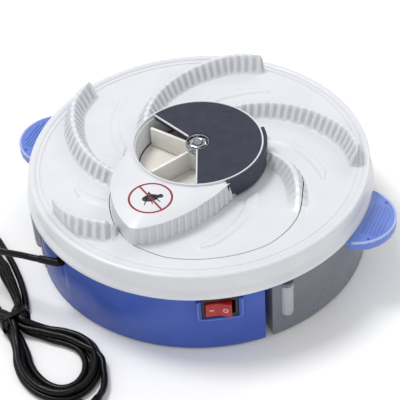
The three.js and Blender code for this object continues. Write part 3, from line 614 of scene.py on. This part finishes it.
def lid_surface(theta, radius):
    """Height of the lid's upper face, and how deep in a groove each point is, from 0 to 1."""
    height = floor_height(radius)
    groove = np.zeros_like(height)
    track = np.linspace(ridge_from, ridge_to, ridge_steps)
    for i, end in enumerate(ridge_ends):
        swept = end + (arm_outer - track) * arm_sweep
        if i == short_ridge:
            crest = swept + 5 * eased(track, drum_radius, 62)
        else:
            crest = swept - 5 * eased(track, 92, 99)
        step = np.gradient(track)
        side = track * np.radians(-np.gradient(crest))
        length = np.cumsum(np.hypot(step, side))
        low = crest[-1]
        turned = (theta - low) % 360 + low
        on_arm = turned <= crest[0]
        crest_radius = np.interp(turned, crest[::-1], track[::-1])
        across = np.interp(turned, crest[::-1], (side / np.hypot(step, side))[::-1])
        outward = np.interp(turned, crest[::-1], (step / np.hypot(step, side))[::-1])
        offset = radius - crest_radius
        along = np.interp(turned, crest[::-1], length[::-1]) + offset * outward
        distance = np.abs(offset * across)
        full = ridge_low + ridge_climb * (crest_radius - drum_radius) / (arm_outer - drum_radius)
        fading = 1
        if i == short_ridge:
            fading = 1 - eased(crest_radius, 64, 80)
            full = floor_height(crest_radius) + (full - floor_height(crest_radius)) * fading
        profile = np.clip((foot_half - distance) / (foot_half - crest_half), 0, 1) ** 0.85
        profile = profile * eased((turned - low) * np.radians(radius), 0, 1.2) * on_arm
        profile = profile * (1 - eased(radius, 97.2, 98.2))
        if i == ridge_under_leaf:
            profile = profile * eased(crest_radius, 80, 85)
        slot = eased(np.cos(2 * math.pi * along / rib_pitch), -0.35, 0.35)
        flank = eased(profile, 0.06, 0.3) * (1 - 0.8 * eased(profile, 0.86, 1))
        slot = slot * fading * (0.45 if i == short_ridge else 1)
        rise = (full - floor_height(radius)) * profile - groove_depth * slot * flank
        higher = rise > height - floor_height(radius)
        groove = np.where(higher, slot * flank, groove)
        height = np.where(higher, floor_height(radius) + rise, height)
        # Finger pressed up in the valley clockwise of this ridge.
        middle = end - finger_back + (arm_outer - radius) * arm_sweep
        turn = (theta - middle + 180) % 360 - 180
        beside = np.radians(turn) * radius * finger_side_slope
        past = np.maximum(np.maximum(finger_from - radius, radius - finger_to), 0) * finger_end_slope
        on_finger = 1 - eased(np.hypot(beside, past), finger_flat, finger_foot)
        height = height + finger_rise * on_finger * (rise < 0.1)
    return height, groove


def skinned(name, sections, closed, groove=None):
    """Mesh through a row of closed sections, joined end to end or capped at both ends."""
    count, size, _ = sections.shape
    faces = []
    for i in range(count if closed else count - 1):
        here, there = i * size, ((i + 1) % count) * size
        for j in range(size):
            k = (j + 1) % size
            faces.append((here + j, here + k, there + k, there + j))
    if not closed:
        faces.append(tuple(range(size))[::-1])
        faces.append(tuple((count - 1) * size + j for j in range(size)))
    mesh = bpy.data.meshes.new(name)
    mesh.from_pydata((sections.reshape(-1, 3) * MM).tolist(), [], faces)
    mesh.validate()
    if groove is not None:
        layer = mesh.attributes.new("groove", "FLOAT", "POINT")
        layer.data.foreach_set("value", groove.reshape(-1).astype(np.float32))
    piece = bpy.data.objects.new(name, mesh)
    bpy.context.scene.collection.objects.link(piece)
    only(piece)
    bpy.ops.object.mode_set(mode="EDIT")
    bpy.ops.mesh.select_all(action="SELECT")
    bpy.ops.mesh.normals_make_consistent(inside=False)
    bpy.ops.object.mode_set(mode="OBJECT")
    bpy.ops.object.shade_smooth_by_angle(angle=math.radians(38))
    return piece


def placed(theta, radius, height):
    angle = np.radians(theta)
    return np.stack([radius * np.cos(angle), radius * np.sin(angle), height + 0 * angle], axis=-1)


rim_profile = [
    (97.3, 58.6), (97.9, 58.6), (98.2, 59.1), (100.3, 59.2), (100.7, 59.6), (101.3, 60.2), (102.6, 60.5),
    (103.9, 60.35), (104.7, 59.9), (105, 59.2), (105.2, 50.8), (105.6, 49.6), (106.6, 47.9), (107.3, 46.6),
    (107.5, 45.6), (107.5, 44.8), (107.2, 44.5), (106, 44.5), (105.7, 44.9), (103.6, 49.2), (103.2, 50.4),
    (103, 56.4), (102.6, 56.8), (96.4, 56.8),
]
lid_angles = np.linspace(-160, 200, 720, endpoint=False)
seam_end = 33
seam_half = 0.3
seam_line = rounded_line(seam_points, lid_angles, 3)
seam_at = np.where(lid_angles > seam_end, drum_radius + 0.1, seam_line) + seam_half
top_reach, top_steps = 97, 76
back_reach, back_steps = 94.5, 18
across_lid = np.linspace(0, 1, top_steps) ** 0.97
top_radius = seam_at[:, None] + (top_reach - seam_at[:, None]) * across_lid[None, :]
theta_grid = np.repeat(lid_angles[:, None], top_radius.shape[1], axis=1)
top_height, top_groove = lid_surface(theta_grid, top_radius)
back_radius = seam_at[:, None] + (back_reach - seam_at[:, None]) * np.linspace(1, 0, back_steps)[None, :]
back_theta = np.repeat(lid_angles[:, None], back_radius.shape[1], axis=1)
back_height, _ = lid_surface(back_theta, back_radius)
rim_radius = np.array([[p[0] for p in rim_profile]] * len(lid_angles))
rim_height = np.array([[p[1] for p in rim_profile]] * len(lid_angles))
rim_theta = np.repeat(lid_angles[:, None], len(rim_profile), axis=1)
sections = np.concatenate([
    placed(theta_grid, top_radius, top_height),
    placed(rim_theta, rim_radius, rim_height),
    placed(back_theta, back_radius, back_height - wall),
], axis=1)
plain = np.zeros_like(rim_radius)
# Where the painted groove shade falls: in the ridges' grooves on top, and none on the rim or underside.
lid_groove_shade = np.concatenate([top_groove, plain, np.zeros_like(back_radius)], axis=1)
lid = skinned("lid_shell", sections, True, lid_groove_shade)
settle(lid, "lid", white, ["lid"])

# ---- centre cover --------------------------------------------------------------------------------
# Lifts out of the lid along a dark seam: the ring round the rotor, the piece of ridged surface in
# front of it, and a flat leaf-shaped panel carried on a ribbed wall.
cover_angles = np.linspace(-157, 30, 380)
cover_edge = rounded_line(seam_points, cover_angles, 3) - seam_half
inner_edge = 39.6
cover_steps, under_steps = 64, 14
cover_radius = inner_edge + (cover_edge[:, None] - inner_edge) * np.linspace(0, 1, cover_steps)[None, :]
cover_theta = np.repeat(cover_angles[:, None], cover_steps, axis=1)
cover_height, cover_groove_shade = lid_surface(cover_theta, cover_radius)
under_radius = inner_edge + (cover_edge[:, None] - inner_edge) * np.linspace(1, 0, under_steps)[None, :]
under_theta = np.repeat(cover_angles[:, None], under_steps, axis=1)
under_height, _ = lid_surface(under_theta, under_radius)
sections = np.concatenate([
    placed(cover_theta, cover_radius, cover_height),
    placed(under_theta, under_radius, under_height - wall),
], axis=1)
# The centre cover's ridged surface gets the same painted groove shade.
cover_groove_shade = np.concatenate([cover_groove_shade, np.zeros_like(under_radius)], axis=1)
centre = skinned("centre_cover_shell", sections, False, cover_groove_shade)
settle(centre, "centre_cover", white, ["centre_cover"])

drum_profile = [(37.8, 54), (40, 54), (40.2, 54.2), (40.2, 71.5), (39.9, 71.8), (39.4, 71.8), (39.1, 71.5),
                (39.1, 69.6), (38.2, 69.2), (38, 56)]
full_turn = np.linspace(0, 360, 180, endpoint=False)
sections = np.stack([placed(full_turn, radius, height) for radius, height in drum_profile], axis=1)
drum = skinned("drum_ring", sections, True)
settle(drum, "centre_cover", white)

leaf_points = [
    (-161, 40.2), (-146, 43.2), (-133, 53.8), (-126, 59.5), (-112, 69.5), (-103, 76.7), (-93, 83.7),
    (-85, 76.3), (-75, 66.2), (-62, 54.3), (-48, 46), (-34, 40.2),
]
leaf_inner = 39.9
leaf_tip = -93  # degrees; the ribs begin at the leaf's tip
leaf_rib_pitch = 4.6
leaf_rib_depth = 0.8
leaf_lip = 0.4
leaf_angles = np.linspace(-156, -38, 420)
leaf_edge = rounded_line(leaf_points, leaf_angles, 2)
edge_steps = np.hypot(np.gradient(leaf_edge), leaf_edge * np.radians(np.gradient(leaf_angles)))
along_edge = np.cumsum(edge_steps)
rib_slot = eased(np.cos(2 * math.pi * along_edge / leaf_rib_pitch), -0.35, 0.35) * (leaf_angles > leaf_tip)
leaf_wall = leaf_edge - leaf_lip - leaf_rib_depth * rib_slot
# The third value of each ring is painted shade, at a quarter strength, in the slots between the wall's
# ribs.
rings = [
    (leaf_wall + 1.6, 57.2, 0.25 * rib_slot), (leaf_wall, 69.2, 0.25 * rib_slot),
    (leaf_edge - 0.3, 69.6, 0),
    (leaf_edge, 69.8, 0), (leaf_edge, 70.1, 0), (leaf_edge - 0.1, 70.3, 0), (leaf_edge - 0.3, 70.4, 0),
    (leaf_inner, 70.4, 0), (leaf_inner, 68.4, 0),
    (leaf_edge - 3.6, 68.3, 0), (leaf_edge - 3.6, 57.8, 0),
]
sections = np.stack([placed(leaf_angles, np.maximum(radius + 0 * leaf_angles, leaf_inner), height)
                     for radius, height, _ in rings], axis=1)
leaf_groove_shade = np.stack([value + 0 * leaf_angles for _, _, value in rings], axis=1)
leaf = skinned("leaf_panel", sections, False, leaf_groove_shade)
settle(leaf, "centre_cover", white)

# ---- sign ----------------------------------------------------------------------------------------
# Printed on the leaf panel in two inks, to a design of its own: a dark red ring and bar over a plain
# black beetle with six legs.
sign_place = (-5.3, -55.7)
sign_radius = 12.6
leaf_top = 70.4
print_thickness = 0.16
sign_turn = -33
sign_red = moulded("sign_red_ink", "8E1E2E", "861A2A", 0.5, mottle=300, bump=0.01)
sign_black = moulded("sign_black_ink", "1C1C20", "222226", 0.5, mottle=300, bump=0.01)
flat = Matrix.Scale(print_thickness, 4, (0, 0, 1))
to_sign = shifted(sign_place[0], sign_place[1], leaf_top + 0.02)
sign_ring = carried(hoop("sign_ring", sign_radius, 1.3), flat, to_sign)
settle(sign_ring, "centre_cover", sign_red)
sign_bar = carried(bar("sign_bar", 2 * sign_radius, 1.1, 2 * print_thickness, 0.05),
                   spun(sign_turn), shifted(0, 0, 0.04), to_sign)
settle(sign_bar, "centre_cover", sign_red)
beetle_turn = spun(38)
leg_length, leg_width = 11, 0.6
beetle_long = Matrix.Scale(1.7, 4, (1, 0, 0))
beetle_parts = [
    carried(button("sign_beetle_body", 3, print_thickness), beetle_long, beetle_turn, to_sign),
    carried(button("sign_beetle_head", 1.7, print_thickness), shifted(6, 0, 0), beetle_turn, to_sign),
]
for k, (along, lean) in enumerate(((3, 25), (0, 0), (-3, -25))):
    legs = bar(f"sign_beetle_legs_{k + 1}", leg_width, leg_length, print_thickness, 0.04)
    beetle_parts.append(carried(legs, spun(lean), shifted(along * 0.8, 0, 0), beetle_turn, to_sign))
for part in beetle_parts:
    settle(part, "centre_cover", sign_black)

# ---- hood ----------------------------------------------------------------------------------------
# Navy moulded plate over three fifths of the rotor, carried by the centre cover, and its short
# curved skirt down the outside of the drum.
navy = moulded("navy_plastic", "282B3E", "202334", 0.34, mottle=110, bump=0.07)
mark_navy = moulded("mark_navy_plastic", "3A3E54", "34384C", 0.3, mottle=110)
hood_from, hood_to = -66.5, 158
hood_inner, hood_outer = 7.6, 39
hood_under, hood_top = 70, 71.6
hood_angles = np.linspace(hood_from, hood_to, 120)
hood_profile = [(hood_inner, hood_under), (hood_outer, hood_under), (hood_outer, hood_top - 0.2),
                (hood_outer - 0.2, hood_top), (hood_inner + 0.3, hood_top), (hood_inner, hood_top - 0.3)]
sections = np.stack([placed(hood_angles, radius, height) for radius, height in hood_profile], axis=1)
hood = skinned("hood_plate", sections, False)
settle(hood, "centre_cover", navy, ["hood_top"])

# The skirt's lower edge steps up twice at its front end and again where it passes over the lid.
skirt_angles = np.linspace(-42, 40, 165)
skirt_low = np.select([skirt_angles < -38, skirt_angles < -34, skirt_angles < 11], [63.5, 60.6, 58.4], 65)
skirt_inner, skirt_outer = 40.4, 42.5
sections = np.stack([
    placed(skirt_angles, skirt_inner, skirt_low), placed(skirt_angles, skirt_outer, skirt_low),
    placed(skirt_angles, skirt_outer, hood_top - 0.3), placed(skirt_angles, skirt_outer - 0.3, hood_top),
    placed(skirt_angles, skirt_inner, hood_top),
], axis=1)
skirt = skinned("hood_skirt_wall", sections, False)
settle(skirt, "centre_cover", navy, ["hood_skirt"])

# ---- rotor collar --------------------------------------------------------------------------------
# Bright plated metal ring on the rotor, round its nut. It stands in the hood's hole and turns
# with the rotor.
collar_profile = [(6.5, 68.3), (7.3, 68.3), (7.3, 71), (7.1, 71.3), (6.7, 71.3), (6.5, 71)]
sections = np.stack([placed(full_turn, radius, height) for radius, height in collar_profile], axis=1)
collar = skinned("rotor_collar", sections, True)
settle(collar, "rotor", bright)

# ---- hood edges and marks ------------------------------------------------------------------------
# Thin white strips along the hood's two straight edges, painted highlights for the light on those
# edges; its turned-down navy sides; and the round marks that the mould's ejector pins leave on it.
side_length = hood_outer - hood_inner - 0.4
hood_middle = (hood_outer + hood_inner) / 2
side_thickness = 0.9
edge_tall, edge_height = 1.2, 71.2
side_tall, side_height = 2.4, 69.4
for k, (degrees, side) in enumerate(((hood_from, -1), (hood_to, 1))):
    # Each white strip is a painted highlight along one of the hood's edges.
    edge_highlight_strip = carried(bar(f"hood_edge_{k + 1}", side_length, side_thickness, edge_tall, 0.25),
                         shifted(hood_middle, side * 0.35, edge_height), spun(degrees))
    settle(edge_highlight_strip, "centre_cover", white, [f"hood_edge_strip_{k + 1}"])
    turned_down = carried(bar(f"hood_side_{k + 1}", side_length, side_thickness, side_tall, 0.15),
                          shifted(hood_middle, side * 0.1, side_height), spun(degrees))
    settle(turned_down, "centre_cover", navy)
for k, (degrees, out, radius) in enumerate(((142, 29.5, 2.3), (76, 32.3, 2.6), (-4, 13.3, 1.1))):
    mark = carried(hoop(f"hood_mark_{k + 1}", radius, 0.4), shifted(out, 0, hood_top), spun(degrees))
    settle(mark, "centre_cover", mark_navy)
skirt_mark = carried(hoop("hood_mark_4", 1.9, 0.3),
                     spun(90, "Y"), shifted(skirt_outer, 0, 67.6), spun(-15.5))
settle(skirt_mark, "centre_cover", mark_navy)

# ---- cord tie ------------------------------------------------------------------------------------
# Flat black plastic strap pulled round the waist of the cord's bow. Its free end sticks up on the
# far side.
tie_width = 3.6
tie_thickness = 0.8
tie_half_wide, tie_half_tall, tie_middle = 8.6, 6, 7
tie_roundness = 0.55
tie_turn = -32
end_size = (3.4, 5, 0.9)
end_lean = 24
end_place = (0, 6.5, 13.3)
around = np.linspace(0, 2 * math.pi, 60, endpoint=False)
wide = np.sign(np.cos(around)) * np.abs(np.cos(around)) ** tie_roundness
tall = np.sign(np.sin(around)) * np.abs(np.sin(around)) ** tie_roundness
sections = []
half_tie = tie_width / 2
tie_outline = ((-half_tie, 0), (half_tie, 0), (half_tie, tie_thickness), (-half_tie, tie_thickness))
for half_width, extra in tie_outline:
    sections.append(np.stack([half_width + 0 * wide, wide * (tie_half_wide + extra),
                              tie_middle + tall * (tie_half_tall + extra)], axis=-1))
tie = skinned("cord_tie", np.stack(sections, axis=1), True)
carried(tie, spun(tie_turn), shifted(waist_place.x, waist_place.y, 0))
settle(tie, "base", cord_black, ["hank_tie"])
tie_end = carried(bar("cord_tie_end", *end_size), spun(end_lean, "X"), shifted(*end_place), spun(tie_turn),
                  shifted(waist_place.x, waist_place.y, 0))
settle(tie_end, "base", cord_black)
